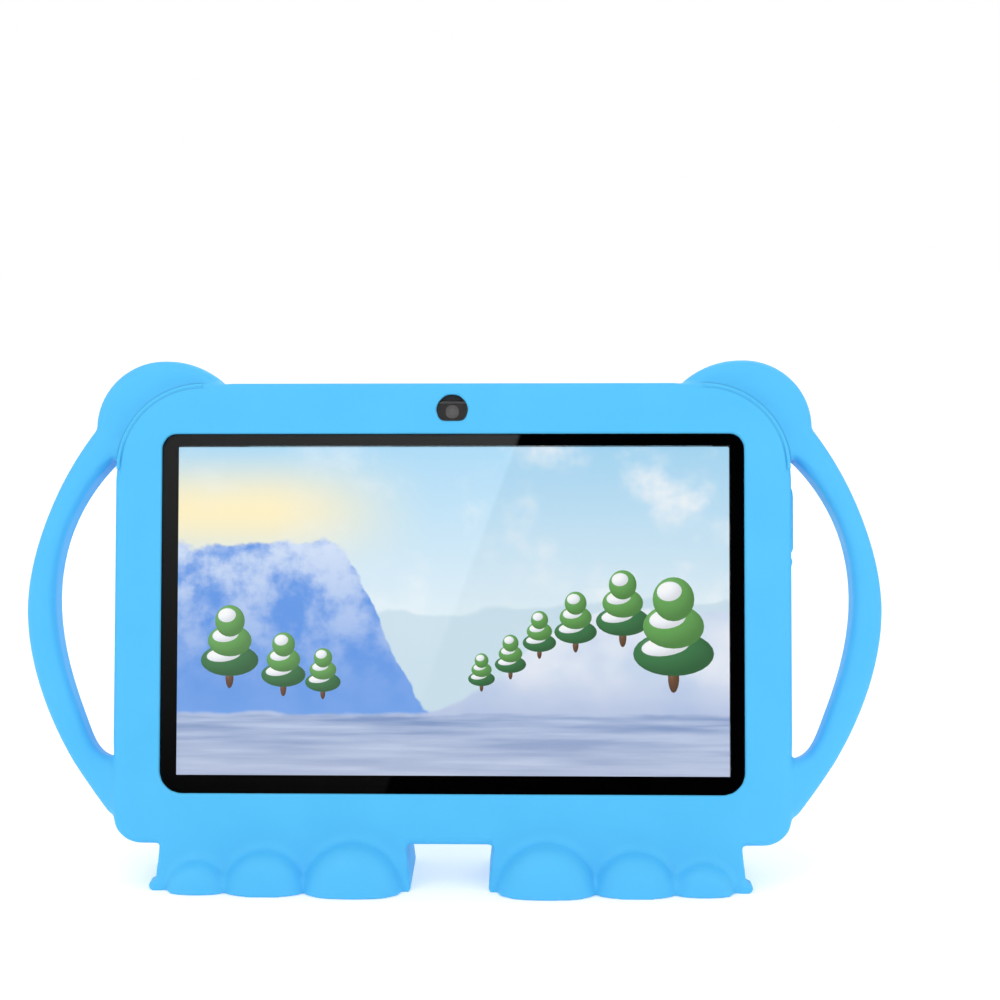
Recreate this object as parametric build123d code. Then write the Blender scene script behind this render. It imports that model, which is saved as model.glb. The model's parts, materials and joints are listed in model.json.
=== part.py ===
"""A seven-inch children's tablet in a one-piece silicone bumper case with ears, side handles and toed feet.

Everything except the feet is drawn in the tablet's own frame: X to the right, Y from the front face
towards the back, Z up the tablet, with the origin in the middle of the case's front face. STAND then leans
the tablet back and sets it on its soles, with the floor at Z = 0 and the footprint centred on the origin.
"""

from build123d import *
import math
import os

# ---------------------------------------------------------------- driving dimensions, mm and degrees
LEAN = 12.0  # how far the tablet leans back on its feet
SCREEN_W, SCREEN_H = 152.4, 91.4  # lit area of a seven-inch panel
TABLET_W, TABLET_H = 182.0, 122.0
TABLET_R = 19.0  # corner radius of the tablet in front view
CASE_SIDE_WALL = 2.65
CASE_END_WALL = 2.85
CASE_T = 18.0  # case, front face to back
LIP_T = 1.8  # silicone lip over the edge of the glass
TABLET_T = 12.4
FIT_GAP = 0.1  # between the silicone and the tablet
FOOT_H = 12.7  # floor to the front bottom edge of the case

CASE_W = TABLET_W + 2 * CASE_SIDE_WALL
CASE_H = TABLET_H + 2 * CASE_END_WALL
CASE_TOP_R, CASE_BOTTOM_R = 24.0, 8.0
FRONT_EDGE_R, BACK_EDGE_R = 1.6, 6.0
WINDOW_W, WINDOW_H = 161.2, 99.6
WINDOW_Z = -0.2
WINDOW_TOP_R, WINDOW_BOTTOM_R = 4.0, 6.0

FRONT = LIP_T + FIT_GAP  # depth of the tablet's front face
BACK = FRONT + TABLET_T  # depth of its back face
SPLIT = FRONT + 3.3  # depth where the front frame meets the rear cover
COVER_WALL = 1.8
INNER_BACK = BACK - COVER_WALL
GLASS_T = 1.1
GLASS_BACK = FRONT + GLASS_T

# ears and handles, right side; the left side is the mirror image
BAIL_FRONT, BAIL_BACK = 2.4, 15.8
BAIL_EDGE_R = 3.1

# feet: sides at the case's bottom edge, then toe centre, half width and reach, inner toe first
FOOT_INNER, FOOT_OUTER = 12.1, 80.0
FOOT_FLARE = 1.5  # each side spreads by this much down to the floor
TOES = [(26.6, 13.6, 8.0), (50.8, 11.3, 6.4), (69.4, 8.4, 5.0)]
HEEL_REACH = 36.0  # sole length behind the foot's front face
HEEL_H = 17.0
HEEL_R = 6.0
HEEL_CORNER_R = 5.0
SOLE_T, SOLE_L, SOLE_OUT = 2.3, 7.0, 1.6  # a tab of the sole sticks out at the outer side

# openings in the silicone
CAMERA_X, CAMERA_Z = 0.0, 56.1  # front camera
REAR_CAMERA_X, REAR_CAMERA_Z = 18.5, 50.0
FLASH_X = 6.3
SPEAKER_X, SPEAKER_Z = -60.0, 6.0
SPEAKER_SLOT_W, SPEAKER_SLOT_H = 14.0, 36.0
PORT_TROUGH_LEFT, PORT_TROUGH_RIGHT = 21.0, 62.5
PORT_TROUGH_SLOPE = 3.0
KEY_SLOT_LOW, KEY_SLOT_HIGH = 13.0, 35.3
KEY_DEPTH = 8.8  # depth of the keys' and sockets' centre line
COLLAR_OUT = 1.0

# circuit board and what stands on it
BOARD_LEFT, BOARD_RIGHT = 23.5, 87.3
BOARD_LOW, BOARD_HIGH = 6.0, 58.3
BOARD_FRONT, BOARD_T = 10.2, 1.0
BOARD_BACK = BOARD_FRONT + BOARD_T
LCD_W, LCD_H = 165.0, 100.0
LCD_FRONT, LCD_T = 3.4, 3.5
LCD_BACK = LCD_FRONT + LCD_T
JACK_X, USB_X, CARD_X = 55.5, 44.5, 30.0
MICROPHONE_X = 38.2
JACK_BORE_R = 1.8
JACK_DEPTH = 9.4
BATTERY_W, BATTERY_H, BATTERY_T = 48.0, 88.0, 4.2
BATTERY_X, BATTERY_Z, BATTERY_FRONT = -20.0, -6.0, 7.4
SCREW_POINTS = [(27.0, 10.0), (83.0, 10.0), (27.0, 38.5), (83.0, 40.0)]

# side keys, each with its lower and upper end
KEY_REACH = 93.0  # how far out the key tops stand
KEY_WALL_IN = TABLET_W / 2 - COVER_WALL
KEY_T = 3.0
KEYS = {"power": (14.3, 18.9), "volume_down": (21.0, 26.6), "volume_up": (28.2, 33.8)}
KEY_CLEAR = 0.15
SWITCH_OUT = 86.8
PLUNGER_R = 0.8
PLUNGER_OUT = 87.6

FAR = 400.0  # longer than the object

FEET_SHIFT = -0.3  # the pair of feet sits this far to the left of the middle
SETBACK = 2.9  # the front face's middle stands this far in front of the footprint's centre
ORIGIN_H = FOOT_H + CASE_H / 2 * math.cos(math.radians(LEAN))
STAND = Location((0, -SETBACK, ORIGIN_H), (-LEAN, 0, 0))


# ---------------------------------------------------------------- drawing helpers
def plate(outline, front, back):
    """An outline drawn on the front view, as a plate from depth front to depth back."""
    return Location((0, front, 0)) * extrude(Plane.XZ * outline, amount=front - back)


def two_radius(width, height, top_r, bottom_r):
    """A rectangle with one radius on its top corners and another on its bottom ones."""
    shape = Rectangle(width, height)
    shape = fillet(shape.vertices().sort_by(Axis.Y)[:2], bottom_r)
    return fillet(shape.vertices().sort_by(Axis.Y)[-2:], top_r)


def block(x0, x1, y0, y1, z0, z1):
    """A box given by its limits."""
    size = (x1 - x0, y1 - y0, z1 - z0)
    return Location(((x0 + x1) / 2, (y0 + y1) / 2, (z0 + z1) / 2)) * Box(*size)


def rod(x, z, radius, front, back):
    """A round bar along the depth."""
    return plate(Pos(x, z) * Circle(radius), front, back)


def side_rod(y, z, radius, x0, x1):
    """A round bar along X."""
    bar = Cylinder(radius, x1 - x0, rotation=(0, 90, 0))
    return Location(((x0 + x1) / 2, y, z)) * bar


def top_rod(x, y, radius, z0, z1):
    """A round bar up the tablet."""
    return Location((x, y, (z0 + z1) / 2)) * Cylinder(radius, z1 - z0)


def both_sides(shape):
    """A shape and its mirror image across the middle of the tablet."""
    return shape + mirror(shape, about=Plane.YZ)


# ---------------------------------------------------------------- silicone case
def case_body():
    """The box of the case, round at its edges."""
    outline = two_radius(CASE_W, CASE_H, CASE_TOP_R, CASE_BOTTOM_R)
    body = plate(outline, 0, CASE_T)
    body = fillet(body.faces().sort_by(Axis.Y)[-1].edges(), BACK_EDGE_R)
    return fillet(body.faces().sort_by(Axis.Y)[0].edges(), FRONT_EDGE_R)


def bail_outline():
    """Ear and handle in front view, with their roots inside the case."""
    with BuildSketch() as sketch:
        with BuildLine():
            ThreePointArc((61.2, 61.5), (70.3, 68.6), (80.4, 70.7))
            ThreePointArc((80.4, 70.7), (94.5, 65.0), (99.9, 51.5))
            Spline(
                (99.9, 51.5), (107.3, 40.3), (114.8, 23.4), (118.9, 2.3), (115.8, -18.7),
                (104.2, -43.7), (95.2, -56.2),
            )
            Polyline((95.2, -56.2), (86.0, -56.0), (86.0, -41.0), (94.0, -40.2))
            Spline(
                (94.0, -40.2), (97.7, -39.0), (102.5, -31.2), (108.2, -14.4), (110.8, 2.3),
                (107.6, 23.4), (100.4, 36.6), (93.8, 43.9),
            )
            Polyline((93.8, 43.9), (86.0, 48.5), (61.2, 52.0), (61.2, 61.5))
        make_face()
    return sketch.sketch


def bail():
    """One ear with its handle, round at its edges."""
    shape = plate(bail_outline(), BAIL_FRONT, BAIL_BACK)
    rims = shape.faces().sort_by(Axis.Y)
    edges = rims[0].edges() + rims[-1].edges()
    curved = [edge for edge in edges if edge.geom_type != GeomType.LINE]
    return fillet(ShapeList(curved), BAIL_EDGE_R)


def key_collar():
    """The raised rim round the side keys, with a notch at its lower end."""
    middle = (KEY_SLOT_LOW + KEY_SLOT_HIGH) / 2
    length = KEY_SLOT_HIGH - KEY_SLOT_LOW
    face = Plane(origin=(CASE_W / 2 - 1.0, KEY_DEPTH, middle), x_dir=(0, 0, 1), z_dir=(1, 0, 0))
    rim = extrude(face * RectangleRounded(length, 8.6, 3.0), amount=1.0 + COLLAR_OUT)
    notch = block(CASE_W / 2 + 0.2, FAR, 0, KEY_DEPTH, KEY_SLOT_LOW + 2.0, KEY_SLOT_LOW + 4.6)
    return rim - notch


def toe(radius, reach):
    """A rounded toe about the origin, pointing to the front."""
    with BuildSketch(Plane.XY) as half:
        with BuildLine():
            Spline(
                (0, -reach), (radius * 0.75, -reach * 0.75), (radius, 0), tangents=[(1, 0), (0, 1)]
            )
            Polyline((radius, 0), (radius, 4.0), (0, 4.0), (0, -reach))
        make_face()
    return revolve(half.sketch, Axis.Y)


def foot():
    """The right foot, standing on the floor: its front carries on the face of the case."""
    front = -SETBACK - math.tan(math.radians(LEAN)) * ORIGIN_H  # front face at the floor
    heel = front + HEEL_REACH
    top = HEEL_H + 6.0
    rise = front + top * math.tan(math.radians(LEAN))
    side = Polygon(
        (front, 0), (heel, 0), (heel, HEEL_H), (rise + CASE_T - 6.0, HEEL_H + 1.5),
        (rise + CASE_T - 6.0, top), (rise, top), align=None,
    )
    corner = side.vertices().filter_by_position(Axis.X, heel - 0.1, heel + 0.1).sort_by(Axis.Y)[-1]
    side = fillet(corner, HEEL_R)
    block_shape = extrude(Plane.YZ * side, amount=FAR)
    spread = FOOT_FLARE / FOOT_H
    outline = Polygon(
        (FOOT_INNER - FOOT_FLARE, 0), (FOOT_OUTER + FOOT_FLARE, 0),
        (FOOT_OUTER + FOOT_FLARE - top * spread, top), (FOOT_INNER - FOOT_FLARE + top * spread, top),
        align=None,
    )
    shape = block_shape & extrude(Plane.XZ * outline, amount=FAR, both=True)
    upright = shape.edges().filter_by(lambda edge: abs((edge % 0.5).Z) > 0.9)
    back = [edge for edge in upright if edge.center().Y > heel - 0.5]
    shape = fillet(ShapeList(back), HEEL_CORNER_R)
    for centre, half_width, reach in TOES:
        shape += Location((centre, front, 0)) * toe(half_width, reach)
    sole = block(78.0, FOOT_OUTER + FOOT_FLARE + SOLE_OUT, front, front + SOLE_L, 0, SOLE_T)
    rim = [edge for edge in sole.edges() if edge.center().X > FOOT_OUTER + FOOT_FLARE + SOLE_OUT - 0.1]
    shape += fillet(ShapeList(rim), 0.9)
    return shape - block(-FAR, FAR, -FAR, FAR, -FAR, 0)


def rear_camera_opening():
    """A pill for the lens that runs into a rounded triangle round the flash."""
    pill_left = FLASH_X
    pill_right = REAR_CAMERA_X + 4.0
    length = pill_right - pill_left
    pill = Pos((pill_left + pill_right) / 2, REAR_CAMERA_Z) * RectangleRounded(length, 6.4, 3.19)
    left = FLASH_X - 4.6
    triangle = Polygon(
        (left, REAR_CAMERA_Z - 8.6), (left + 13.0, REAR_CAMERA_Z), (left, REAR_CAMERA_Z + 8.6),
        align=None,
    )
    return pill + fillet(triangle.vertices(), 2.4)


def port_trough():
    """The notch with sloping ends that lays the sockets on the top edge open."""
    floor = TABLET_H / 2 - 1.0
    high = CASE_H / 2 + 1.0
    slope = PORT_TROUGH_SLOPE
    notch = Polygon(
        (PORT_TROUGH_LEFT + slope, floor), (PORT_TROUGH_RIGHT - slope, floor),
        (PORT_TROUGH_RIGHT, high), (PORT_TROUGH_LEFT, high), align=None,
    )
    return plate(notch, 5.2, 13.2)


def key_slot():
    """The opening for the side keys."""
    middle = (KEY_SLOT_LOW + KEY_SLOT_HIGH) / 2
    length = KEY_SLOT_HIGH - KEY_SLOT_LOW - 1.2
    face = Plane(origin=(TABLET_W / 2 - 3.0, KEY_DEPTH, middle), x_dir=(0, 0, 1), z_dir=(1, 0, 0))
    return extrude(face * RectangleRounded(length, 5.0, 0.9), amount=8.0)


def camera_window():
    """The D-shaped hole in front of the camera."""
    shape = Circle(4.3) - Pos(0, -3.0) * Rectangle(20, 20, align=(Align.CENTER, Align.MAX))
    shape = fillet(shape.vertices(), 1.2)
    return Pos(CAMERA_X, CAMERA_Z + 0.2) * shape


def silicone_case():
    """The whole moulding, leaning and standing on the floor."""
    shape = case_body() + both_sides(bail()) + key_collar()
    gap = FIT_GAP
    pocket = RectangleRounded(TABLET_W + 2 * gap, TABLET_H + 2 * gap, TABLET_R + gap)
    shape -= plate(pocket, LIP_T, BACK + gap)
    window = two_radius(WINDOW_W, WINDOW_H, WINDOW_TOP_R, WINDOW_BOTTOM_R)
    shape -= plate(Pos(0, WINDOW_Z) * window, -1, LIP_T + 1)
    shape -= plate(camera_window(), -1, LIP_T + 1)
    shape -= plate(rear_camera_opening(), BACK, CASE_T + 1)
    slot = RectangleRounded(SPEAKER_SLOT_W, SPEAKER_SLOT_H, 3.0)
    shape -= plate(Pos(SPEAKER_X, SPEAKER_Z) * slot, BACK, CASE_T + 1)
    shape -= port_trough() + key_slot()
    strap = Location((72.0, 9.6, 68.2), (0, 22, 0)) * Box(6.0, 2.2, 5.0)
    shape -= strap
    shape = STAND * shape + Pos(FEET_SHIFT, 0, 0) * both_sides(foot())
    return shape - STAND * plate(pocket, LIP_T, BACK + gap)


# ---------------------------------------------------------------- tablet shell
def touch_glass():
    """The cover glass with the touch sensor on its back."""
    outline = RectangleRounded(TABLET_W - 4.0, TABLET_H - 4.0, TABLET_R - 2.0)
    glass = plate(outline, FRONT, GLASS_BACK)
    return chamfer(glass.faces().sort_by(Axis.Y)[0].edges(), 0.25)


def glass_tape():
    """Double-sided tape between the glass and the front frame."""
    outer = RectangleRounded(TABLET_W - 5.0, TABLET_H - 5.0, TABLET_R - 2.5)
    inner = RectangleRounded(LCD_W + 3.0, LCD_H + 3.0, 2.0)
    camera = Pos(CAMERA_X, CAMERA_Z) * Rectangle(7.6, 30.0)
    return plate(outer - inner - camera, GLASS_BACK, GLASS_BACK + 0.3)


def lcd_gasket():
    """Foam strip that keeps dust off the panel, between glass and panel."""
    outer = RectangleRounded(LCD_W - 1.0, LCD_H - 1.0, 1.5)
    inner = RectangleRounded(SCREEN_W + 1.0, SCREEN_H + 1.0, 0.5)
    return plate(outer - inner, GLASS_BACK, LCD_FRONT)


def front_frame():
    """The frame that holds glass and panel, with snap tabs for the rear cover."""
    outer = RectangleRounded(TABLET_W, TABLET_H, TABLET_R)
    seat = RectangleRounded(TABLET_W - 3.7, TABLET_H - 3.7, TABLET_R - 1.85)
    inside = RectangleRounded(TABLET_W - 4.4, TABLET_H - 4.4, TABLET_R - 2.2)
    opening = RectangleRounded(LCD_W + 0.6, LCD_H + 0.6, 1.0)
    ledge_front = GLASS_BACK + 0.3
    shape = plate(outer, FRONT, SPLIT) - plate(seat, FRONT - 1, ledge_front)
    shape -= plate(opening, FRONT, FAR) + plate(inside, ledge_front + 1.0, FAR)
    shape -= block(CAMERA_X - 3.7, CAMERA_X + 3.7, FRONT, FAR, CAMERA_Z - 3.7, CAMERA_Z + 3.0)
    shape -= block(29.4, 55.6, LCD_FRONT, FAR, -LCD_H / 2 - 1.5, -LCD_H / 2)
    for x in (-60.0, -20.0, 10.0):
        for top in (1, -1):
            edge = top * (TABLET_H / 2 - 2.4)
            shape += block(x - 3, x + 3, SPLIT - 1.2, SPLIT + 1.8, *sorted((edge, edge - top)))
    return shape


def cover_hollow():
    """The space inside the rear cover."""
    inner = RectangleRounded(
        TABLET_W - 2 * COVER_WALL, TABLET_H - 2 * COVER_WALL, TABLET_R - COVER_WALL
    )
    hollow = plate(inner, SPLIT - 1, INNER_BACK)
    return fillet(hollow.faces().sort_by(Axis.Y)[-1].edges(), 1.4)


def rear_cover():
    """The black shell: camera and flash seats, speaker grille, socket and key openings, board posts."""
    shape = plate(RectangleRounded(TABLET_W, TABLET_H, TABLET_R), SPLIT, BACK)
    shape = fillet(shape.faces().sort_by(Axis.Y)[-1].edges(), 4.0)
    shape -= cover_hollow()
    for x, z in SCREW_POINTS:
        shape += rod(x, z, 2.4, BOARD_BACK, INNER_BACK + 0.5)
        shape -= rod(x, z, 0.8, BOARD_BACK - 1, INNER_BACK)
    shape -= rod(REAR_CAMERA_X, REAR_CAMERA_Z, 2.6, INNER_BACK - 1, BACK + 1)
    shape -= rod(REAR_CAMERA_X, REAR_CAMERA_Z, 3.1, BACK - 0.8, BACK + 1)
    shape -= rod(FLASH_X, REAR_CAMERA_Z, 1.8, INNER_BACK - 1, BACK + 1)
    shape -= rod(FLASH_X, REAR_CAMERA_Z, 2.7, BACK - 0.8, BACK + 1)
    for column in range(4):
        for row in range(9):
            x = SPEAKER_X + (column - 1.5) * 2.8
            z = SPEAKER_Z + (row - 4) * 2.4
            shape -= rod(x, z, 0.6, INNER_BACK - 1, BACK + 1)
    top = TABLET_H / 2
    shape -= block(USB_X - 4.3, USB_X + 4.3, KEY_DEPTH - 1.8, KEY_DEPTH + 1.8, top - 4, top + 1)
    shape -= block(CARD_X - 6.0, CARD_X + 6.0, 8.5, 10.1, top - 4, top + 1)
    shape -= top_rod(JACK_X, JACK_DEPTH, 2.8, top - 4, top + 1)
    shape -= top_rod(MICROPHONE_X, KEY_DEPTH, 0.5, top - 4, top + 1)
    for low, high in KEYS.values():
        shape -= key_hole(low, high)
    return shape


def key_hole(low, high):
    """The opening in the cover's side for one key."""
    half = KEY_T / 2 + KEY_CLEAR
    return block(
        TABLET_W / 2 - 3.0, FAR, KEY_DEPTH - half, KEY_DEPTH + half, low - KEY_CLEAR, high + KEY_CLEAR
    )


# ---------------------------------------------------------------- screen
def lcd_panel():
    """The panel's glass sandwich."""
    return plate(Rectangle(LCD_W - 2.0, LCD_H - 2.0), LCD_FRONT, LCD_FRONT + 1.2)


def lcd_backlight():
    """The tray with the backlight, round and behind the panel."""
    tray = plate(RectangleRounded(LCD_W, LCD_H, 0.6), LCD_FRONT, LCD_BACK)
    return tray - plate(Rectangle(LCD_W - 1.8, LCD_H - 1.8), LCD_FRONT - 1, LCD_FRONT + 1.2)


def ribbon(points, thickness, x0, x1):
    """A folded flat cable along a list of (depth, height) corners, built from flat runs."""
    shape = None
    half = thickness / 2
    for (y0, z0), (y1, z1) in zip(points, points[1:]):
        low_y, high_y = sorted((y0, y1))
        low_z, high_z = sorted((z0, z1))
        run = block(x0, x1, low_y - half, high_y + half, low_z - half, high_z + half)
        shape = run if shape is None else shape + run
    return shape


def screen_flex():
    """The panel's flat cable, down round the tray's back and up to its connector on the board."""
    low = -LCD_H / 2 - 0.9
    return ribbon([(4.0, low + 1.8), (4.0, low), (LCD_BACK + 0.35, low), (LCD_BACK + 0.35, 8.3),
                   (9.6, 8.3), (9.6, 12.2)], 0.2, 30.0, 55.0)


def screen_flex_bare():
    """The panel's cable without the part that would run through the tray."""
    return screen_flex() - block(-FAR, FAR, LCD_FRONT, LCD_BACK, -LCD_H / 2, FAR)


def screen_connector():
    """The socket on the board that takes the panel's cable."""
    return block(29.0, 56.0, 8.4, BOARD_FRONT, 12.3, 16.0) - block(29.8, 55.2, 9.3, 9.9, 12.0, 14.8)


# ---------------------------------------------------------------- cameras, flash, speaker, microphone
def camera(x, z, front, back, towards):
    """A camera block with its lens barrel on the side it looks towards: -1 front, 1 back."""
    size = 3.2
    shape = block(x - size, x + size, front, back, z - size + 0.2, z + size - 0.4)
    face = front if towards < 0 else back
    barrel = sorted((face, face + towards * 0.7))
    shape += rod(x, z - 0.1, 2.3, *barrel)
    pupil = sorted((face + towards * 0.7, face + towards * 0.3))
    return shape - rod(x, z - 0.1, 0.7, *pupil)


def front_camera():
    """The camera above the screen, just behind the glass."""
    return camera(CAMERA_X, CAMERA_Z, GLASS_BACK + 0.8, GLASS_BACK + 3.4, -1)


def rear_camera():
    """The camera that looks out of the back."""
    return camera(REAR_CAMERA_X, REAR_CAMERA_Z, 7.8, INNER_BACK - 0.1, 1)


def rear_camera_lens():
    """The clear disc over the rear camera."""
    return rod(REAR_CAMERA_X, REAR_CAMERA_Z, 3.05, BACK - 0.8, BACK)


def flash_led():
    """The flash's light-emitting chip on its small carrier."""
    carrier = block(FLASH_X - 2.4, FLASH_X + 2.4, 10.6, 11.4, REAR_CAMERA_Z - 2.4, REAR_CAMERA_Z + 2.4)
    return carrier + rod(FLASH_X, REAR_CAMERA_Z, 1.3, 11.4, 12.2)


def flash_lens():
    """The domed disc over the flash."""
    disc = rod(FLASH_X, REAR_CAMERA_Z, 2.65, BACK - 0.8, BACK + 0.35)
    return fillet(disc.faces().sort_by(Axis.Y)[-1].edges(), 0.3)


def camera_flex():
    """The rear camera's and flash's flat cable to the board."""
    shape = block(4.4, 21.0, 7.4, 7.6, 48.0, 52.0) + block(4.4, 4.6, 7.4, 10.6, 48.0, 52.0)
    shape += block(16.4, 20.6, 7.4, 7.6, 32.0, 49.0) + block(16.4, 26.0, 7.4, 7.6, 32.0, 36.0)
    return shape + block(25.8, 26.0, 7.4, BOARD_FRONT, 32.0, 36.0)


def speaker():
    """A slim speaker with its cone towards the back."""
    body = plate(Pos(SPEAKER_X, SPEAKER_Z) * RectangleRounded(14.0, 25.0, 2.0), 7.6, INNER_BACK - 0.4)
    cone = Pos(SPEAKER_X, SPEAKER_Z) * RectangleRounded(11.0, 22.0, 4.0)
    return body - plate(cone, INNER_BACK - 1.2, INNER_BACK)


def speaker_gasket():
    """Foam ring between the speaker and the cover."""
    outer = RectangleRounded(14.0, 25.0, 2.0)
    inner = RectangleRounded(12.0, 23.0, 4.0)
    return plate(Pos(SPEAKER_X, SPEAKER_Z) * (outer - inner), INNER_BACK - 0.4, INNER_BACK)


def microphone():
    """The microphone can behind its pinhole."""
    return block(MICROPHONE_X - 1.2, MICROPHONE_X + 1.2, 7.7, BOARD_FRONT, 54.4, 57.6)


# ---------------------------------------------------------------- board and power
def main_board():
    """The circuit board, notched for the headphone socket."""
    shape = block(BOARD_LEFT, BOARD_RIGHT, BOARD_FRONT, BOARD_BACK, BOARD_LOW, BOARD_HIGH)
    inside = RectangleRounded(TABLET_W - 7.0, TABLET_H - 5.0, TABLET_R - 2.5)
    shape = shape & plate(inside, 0, FAR)
    shape -= block(JACK_X - 3.1, JACK_X + 3.1, 0, FAR, 46.8, FAR)
    for x, z in SCREW_POINTS:
        shape -= rod(x, z, 0.9, 0, FAR)
    return shape


def shield_can():
    """The pressed tin lid over processor and memory."""
    can = block(44.0, 72.0, 8.0, BOARD_FRONT, 19.0, 41.0)
    return can - block(44.2, 71.8, 8.2, FAR, 19.2, 40.8)


def processor():
    """The main chip under the lid."""
    return block(55.5, 69.5, 9.0, BOARD_FRONT, 23.0, 37.0)


def memory_chips():
    """Two memory chips under the lid."""
    low = block(45.5, 53.5, 9.2, BOARD_FRONT, 20.2, 29.2)
    return low + block(45.5, 53.5, 9.2, BOARD_FRONT, 30.8, 39.8)


def screws():
    """Four pan-head screws that hold the board to the cover's posts."""
    shapes = []
    for x, z in SCREW_POINTS:
        head = rod(x, z, 1.6, BOARD_FRONT - 0.9, BOARD_FRONT)
        head -= block(x - 1.0, x + 1.0, BOARD_FRONT - 1, BOARD_FRONT - 0.5, z - 0.15, z + 0.15)
        head -= block(x - 0.15, x + 0.15, BOARD_FRONT - 1, BOARD_FRONT - 0.5, z - 1.0, z + 1.0)
        shapes.append(head + rod(x, z, 0.72, BOARD_FRONT, INNER_BACK - 0.1))
    return Compound(children=shapes)


def battery():
    """The flat lithium cell."""
    shape = block(
        BATTERY_X - BATTERY_W / 2, BATTERY_X + BATTERY_W / 2,
        BATTERY_FRONT, BATTERY_FRONT + BATTERY_T,
        BATTERY_Z - BATTERY_H / 2, BATTERY_Z + BATTERY_H / 2,
    )
    return fillet(shape.edges().filter_by(Axis.Z), 1.6)


def battery_tape():
    """The tape that holds the cell to the rear cover."""
    return block(-38.0, -2.0, BATTERY_FRONT + BATTERY_T, INNER_BACK, -44.0, 32.0)


def wire_pair(points, spacing):
    """Two round leads one behind the other along the same route."""
    shapes = []
    for side in (-0.5, 0.5):
        route = FilletPolyline(*[(x, y + side * spacing, z) for x, y, z in points], radius=1.8)
        section = Plane(origin=route @ 0, z_dir=route % 0) * Circle(0.45)
        shapes.append(sweep(section, path=route))
    return Compound(children=shapes)


def battery_leads():
    """The cell's two leads to the board's power socket."""
    return wire_pair([(4.01, 9.3, 20.0), (12.0, 9.3, 20.0), (17.0, 9.3, 15.0), (23.5, 9.3, 15.0)], 1.0)


def battery_plug():
    """The plug of the cell's leads, seated on the board."""
    return block(23.55, 27.5, 8.2, BOARD_FRONT, 13.0, 17.0)


def speaker_leads():
    """The speaker's two leads, over the cell's top end to the board."""
    return wire_pair(
        [(-52.99, 9.3, 14.0), (-48.5, 9.3, 14.0), (-48.5, 9.3, 42.0), (12.0, 9.3, 42.0),
         (12.0, 9.3, 27.5), (23.5, 9.3, 27.5)], 1.0)


def speaker_plug():
    """The plug of the speaker's leads."""
    return block(23.55, 26.6, 8.4, BOARD_FRONT, 25.8, 29.2)


def wifi_antenna():
    """The flexible aerial stuck along the cover's top inside."""
    return block(-80.0, -46.0, INNER_BACK - 0.2, INNER_BACK, 44.0, 52.0)


# ---------------------------------------------------------------- sockets on the top edge
def headphone_jack():
    """The headphone socket; its bore opens upwards through the cover's top edge."""
    shape = block(JACK_X - 2.9, JACK_X + 2.9, 7.0, 11.9, 47.0, 57.9)
    shape += top_rod(JACK_X, JACK_DEPTH, 2.6, 57.8, TABLET_H / 2)
    return shape - top_rod(JACK_X, JACK_DEPTH, JACK_BORE_R, 48.4, FAR)


def usb_port():
    """The charging socket: a pressed shell with a tongue in it."""
    half_w, half_h = 3.9, 1.4
    shell = block(USB_X - half_w, USB_X + half_w, KEY_DEPTH - half_h, KEY_DEPTH + half_h, 54.8, 60.4)
    inside = block(
        USB_X - half_w + 0.3, USB_X + half_w - 0.3, KEY_DEPTH - 1.1, KEY_DEPTH + 1.1, 55.6, FAR
    )
    tongue = block(USB_X - 2.0, USB_X + 2.0, KEY_DEPTH - 0.35, KEY_DEPTH + 0.35, 55.5, 59.6)
    return shell - inside + tongue


def card_slot():
    """The memory-card slot."""
    shape = block(CARD_X - 6.3, CARD_X + 6.3, 8.3, BOARD_FRONT, 44.0, 58.8)
    return shape - block(CARD_X - 5.7, CARD_X + 5.7, 8.8, 9.8, 45.0, FAR)


# ---------------------------------------------------------------- side keys
def key(low, high):
    """One side key: cap, a flange that keeps it in, and a nub for its switch."""
    half = KEY_T / 2
    cap = block(KEY_WALL_IN - 0.5, KEY_REACH, KEY_DEPTH - half, KEY_DEPTH + half, low, high)
    cap = fillet(cap.faces().sort_by(Axis.X)[-1].edges(), 0.6)
    flange_out = KEY_WALL_IN - 0.05
    cap += block(flange_out - 0.7, flange_out, KEY_DEPTH - 2.1, KEY_DEPTH + 2.1, low - 0.5, high + 0.5)
    return cap + side_rod(KEY_DEPTH, (low + high) / 2, 0.9, PLUNGER_OUT + 0.03, flange_out)


def switch_plunger(z):
    """The round-tipped plunger of one switch."""
    shape = side_rod(KEY_DEPTH, z, PLUNGER_R, SWITCH_OUT - 1.0, PLUNGER_OUT)
    tip = shape.faces().sort_by(Axis.X)[-1].edges()
    return fillet(tip, 0.4)


def switch_housings():
    """The three switches' housings, each bored for its plunger."""
    shapes = []
    for low, high in KEYS.values():
        z = (low + high) / 2
        shape = block(SWITCH_OUT - 2.6, SWITCH_OUT, 7.6, BOARD_FRONT, z - 1.75, z + 1.75)
        shapes.append(shape - side_rod(KEY_DEPTH, z, PLUNGER_R + 0.08, SWITCH_OUT - 1.6, SWITCH_OUT + 1))
    return Compound(children=shapes)


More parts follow.
